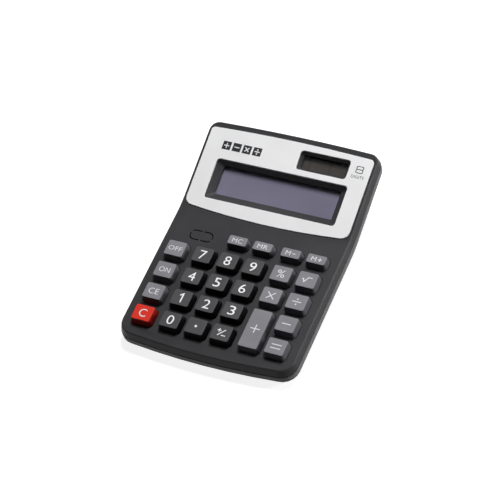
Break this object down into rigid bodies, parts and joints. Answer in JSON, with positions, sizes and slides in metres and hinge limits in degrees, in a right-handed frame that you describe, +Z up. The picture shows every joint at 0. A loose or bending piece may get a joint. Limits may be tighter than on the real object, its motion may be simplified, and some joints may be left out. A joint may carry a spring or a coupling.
{
  "type": "desk calculator",
  "caption": "Small desk calculator with a flat deck of sprung keys, a raised display with a solar window, and a battery compartment underneath.",
  "frame": {"origin": "on the surface it stands on, under the middle of its outline", "axes": "+X across the keys to the right, +Y from the front edge to the display, +Z up"},
  "size_m": [0.104, 0.1412, 0.0328],
  "materials": {
    "case_plastic": "dark grey moulded plastic, fine satin grain, coarser texture on the lower rim",
    "silver_panel": "silver-painted plastic fascia, fine satin finish",
    "clear_lens": "clear acrylic window",
    "lcd": "liquid crystal glass, blank grey-violet",
    "reflector_foil": "matt reflector foil",
    "inner_plastic": "plain moulded plastic",
    "solar_glass": "dark brown solar cell glass with thin grid lines",
    "membrane_rubber": "grey silicone rubber",
    "board_laminate": "brown phenolic board with printed tracks",
    "chip_resin": "black encapsulating resin",
    "ribbon_film": "amber heat-seal film",
    "lead_sheath": "insulated lead",
    "cell_steel": "bright nickel-plated steel",
    "spring_brass": "plated spring strip",
    "screw_steel": "zinc-plated steel",
    "foot_rubber": "matt black rubber",
    "digit_key": "dark grey moulded key with white print",
    "function_key": "mid grey moulded key with white print",
    "clear_key": "red moulded key with white print"
  },
  "bodies": {
    "case": {"top_case": "case_plastic", "bottom_case": "case_plastic", "display_panel": "silver_panel", "display_lens": "clear_lens", "lcd_glass": "lcd", "lcd_reflector": "reflector_foil", "lcd_holder": "inner_plastic", "solar_lens": "clear_lens", "solar_cell": "solar_glass", "keypad_membrane": "membrane_rubber", "main_board": "board_laminate", "chip_dome": "chip_resin", "ribbon_cable": "ribbon_film", "solar_lead": "lead_sheath", "battery_lead": "lead_sheath", "battery_cell": "cell_steel", "contact_plus": "spring_brass", "contact_minus": "spring_brass", "case_screw_front_left": "screw_steel", "case_screw_front_right": "screw_steel", "case_screw_middle_left": "screw_steel", "case_screw_middle_right": "screw_steel", "case_screw_back": "screw_steel", "board_screw_front_left": "screw_steel", "board_screw_front_right": "screw_steel", "board_screw_back_left": "screw_steel", "board_screw_back_right": "screw_steel", "foot_front_left": "foot_rubber", "foot_front_right": "foot_rubber", "foot_back_left": "foot_rubber", "foot_back_right": "foot_rubber"},
    "battery_door": {"battery_cover": "case_plastic", "cover_screw": "screw_steel"},
    "key_off": {"key_off": "function_key"},
    "key_on": {"key_on": "function_key"},
    "key_ce": {"key_ce": "function_key"},
    "key_c": {"key_c": "clear_key"},
    "key_7": {"key_7": "digit_key"},
    "key_4": {"key_4": "digit_key"},
    "key_1": {"key_1": "digit_key"},
    "key_0": {"key_0": "digit_key"},
    "key_8": {"key_8": "digit_key"},
    "key_5": {"key_5": "digit_key"},
    "key_2": {"key_2": "digit_key"},
    "key_point": {"key_point": "digit_key"},
    "key_9": {"key_9": "digit_key"},
    "key_6": {"key_6": "digit_key"},
    "key_3": {"key_3": "digit_key"},
    "key_sign": {"key_sign": "digit_key"},
    "key_percent": {"key_percent": "function_key"},
    "key_times": {"key_times": "function_key"},
    "key_plus": {"key_plus": "function_key"},
    "key_root": {"key_root": "function_key"},
    "key_divide": {"key_divide": "function_key"},
    "key_minus": {"key_minus": "function_key"},
    "key_equals": {"key_equals": "function_key"},
    "key_mc": {"key_mc": "function_key"},
    "key_mr": {"key_mr": "function_key"},
    "key_m_minus": {"key_m_minus": "function_key"},
    "key_m_plus": {"key_m_plus": "function_key"}
  },
  "joints": [
    {"name": "press_off", "type": "slide", "parent": "case", "child": "key_off", "axis": [0, -0.0698, 0.9976], "range_m": [-0.0012, 0], "stiffness_N_per_m": 500, "springref_m": 0.0002, "deforming": ["keypad_membrane"]},
    {"name": "press_on", "type": "slide", "parent": "case", "child": "key_on", "axis": [0, -0.0698, 0.9976], "range_m": [-0.0012, 0], "stiffness_N_per_m": 500, "springref_m": 0.0002, "deforming": ["keypad_membrane"]},
    {"name": "press_ce", "type": "slide", "parent": "case", "child": "key_ce", "axis": [0, -0.0698, 0.9976], "range_m": [-0.0012, 0], "stiffness_N_per_m": 500, "springref_m": 0.0002, "deforming": ["keypad_membrane"]},
    {"name": "press_c", "type": "slide", "parent": "case", "child": "key_c", "axis": [0, -0.0698, 0.9976], "range_m": [-0.0012, 0], "stiffness_N_per_m": 500, "springref_m": 0.0002, "deforming": ["keypad_membrane"]},
    {"name": "press_7", "type": "slide", "parent": "case", "child": "key_7", "axis": [0, -0.0698, 0.9976], "range_m": [-0.0012, 0], "stiffness_N_per_m": 500, "springref_m": 0.0002, "deforming": ["keypad_membrane"]},
    {"name": "press_4", "type": "slide", "parent": "case", "child": "key_4", "axis": [0, -0.0698, 0.9976], "range_m": [-0.0012, 0], "stiffness_N_per_m": 500, "springref_m": 0.0002, "deforming": ["keypad_membrane"]},
    {"name": "press_1", "type": "slide", "parent": "case", "child": "key_1", "axis": [0, -0.0698, 0.9976], "range_m": [-0.0012, 0], "stiffness_N_per_m": 500, "springref_m": 0.0002, "deforming": ["keypad_membrane"]},
    {"name": "press_0", "type": "slide", "parent": "case", "child": "key_0", "axis": [0, -0.0698, 0.9976], "range_m": [-0.0012, 0], "stiffness_N_per_m": 500, "springref_m": 0.0002, "deforming": ["keypad_membrane"]},
    {"name": "press_8", "type": "slide", "parent": "case", "child": "key_8", "axis": [0, -0.0698, 0.9976], "range_m": [-0.0012, 0], "stiffness_N_per_m": 500, "springref_m": 0.0002, "deforming": ["keypad_membrane"]},
    {"name": "press_5", "type": "slide", "parent": "case", "child": "key_5", "axis": [0, -0.0698, 0.9976], "range_m": [-0.0012, 0], "stiffness_N_per_m": 500, "springref_m": 0.0002, "deforming": ["keypad_membrane"]},
    {"name": "press_2", "type": "slide", "parent": "case", "child": "key_2", "axis": [0, -0.0698, 0.9976], "range_m": [-0.0012, 0], "stiffness_N_per_m": 500, "springref_m": 0.0002, "deforming": ["keypad_membrane"]},
    {"name": "press_point", "type": "slide", "parent": "case", "child": "key_point", "axis": [0, -0.0698, 0.9976], "range_m": [-0.0012, 0], "stiffness_N_per_m": 500, "springref_m": 0.0002, "deforming": ["keypad_membrane"]},
    {"name": "press_9", "type": "slide", "parent": "case", "child": "key_9", "axis": [0, -0.0698, 0.9976], "range_m": [-0.0012, 0], "stiffness_N_per_m": 500, "springref_m": 0.0002, "deforming": ["keypad_membrane"]},
    {"name": "press_6", "type": "slide", "parent": "case", "child": "key_6", "axis": [0, -0.0698, 0.9976], "range_m": [-0.0012, 0], "stiffness_N_per_m": 500, "springref_m": 0.0002, "deforming": ["keypad_membrane"]},
    {"name": "press_3", "type": "slide", "parent": "case", "child": "key_3", "axis": [0, -0.0698, 0.9976], "range_m": [-0.0012, 0], "stiffness_N_per_m": 500, "springref_m": 0.0002, "deforming": ["keypad_membrane"]},
    {"name": "press_sign", "type": "slide", "parent": "case", "child": "key_sign", "axis": [0, -0.0698, 0.9976], "range_m": [-0.0012, 0], "stiffness_N_per_m": 500, "springref_m": 0.0002, "deforming": ["keypad_membrane"]},
    {"name": "press_percent", "type": "slide", "parent": "case", "child": "key_percent", "axis": [0, -0.0698, 0.9976], "range_m": [-0.0012, 0], "stiffness_N_per_m": 500, "springref_m": 0.0002, "deforming": ["keypad_membrane"]},
    {"name": "press_times", "type": "slide", "parent": "case", "child": "key_times", "axis": [0, -0.0698, 0.9976], "range_m": [-0.0012, 0], "stiffness_N_per_m": 500, "springref_m": 0.0002, "deforming": ["keypad_membrane"]},
    {"name": "press_plus", "type": "slide", "parent": "case", "child": "key_plus", "axis": [0, -0.0698, 0.9976], "range_m": [-0.0012, 0], "stiffness_N_per_m": 500, "springref_m": 0.0002, "deforming": ["keypad_membrane"]},
    {"name": "press_root", "type": "slide", "parent": "case", "child": "key_root", "axis": [0, -0.0698, 0.9976], "range_m": [-0.0012, 0], "stiffness_N_per_m": 500, "springref_m": 0.0002, "deforming": ["keypad_membrane"]},
    {"name": "press_divide", "type": "slide", "parent": "case", "child": "key_divide", "axis": [0, -0.0698, 0.9976], "range_m": [-0.0012, 0], "stiffness_N_per_m": 500, "springref_m": 0.0002, "deforming": ["keypad_membrane"]},
    {"name": "press_minus", "type": "slide", "parent": "case", "child": "key_minus", "axis": [0, -0.0698, 0.9976], "range_m": [-0.0012, 0], "stiffness_N_per_m": 500, "springref_m": 0.0002, "deforming": ["keypad_membrane"]},
    {"name": "press_equals", "type": "slide", "parent": "case", "child": "key_equals", "axis": [0, -0.0698, 0.9976], "range_m": [-0.0012, 0], "stiffness_N_per_m": 500, "springref_m": 0.0002, "deforming": ["keypad_membrane"]},
    {"name": "press_mc", "type": "slide", "parent": "case", "child": "key_mc", "axis": [0, -0.0698, 0.9976], "range_m": [-0.0012, 0], "stiffness_N_per_m": 500, "springref_m": 0.0002, "deforming": ["keypad_membrane"]},
    {"name": "press_mr", "type": "slide", "parent": "case", "child": "key_mr", "axis": [0, -0.0698, 0.9976], "range_m": [-0.0012, 0], "stiffness_N_per_m": 500, "springref_m": 0.0002, "deforming": ["keypad_membrane"]},
    {"name": "press_m_minus", "type": "slide", "parent": "case", "child": "key_m_minus", "axis": [0, -0.0698, 0.9976], "range_m": [-0.0012, 0], "stiffness_N_per_m": 500, "springref_m": 0.0002, "deforming": ["keypad_membrane"]},
    {"name": "press_m_plus", "type": "slide", "parent": "case", "child": "key_m_plus", "axis": [0, -0.0698, 0.9976], "range_m": [-0.0012, 0], "stiffness_N_per_m": 500, "springref_m": 0.0002, "deforming": ["keypad_membrane"]},
    {"name": "battery_door_lift", "type": "slide", "parent": "case", "child": "battery_door", "axis": [0, 0, -1], "range_m": [0, 0.02]}
  ]
}
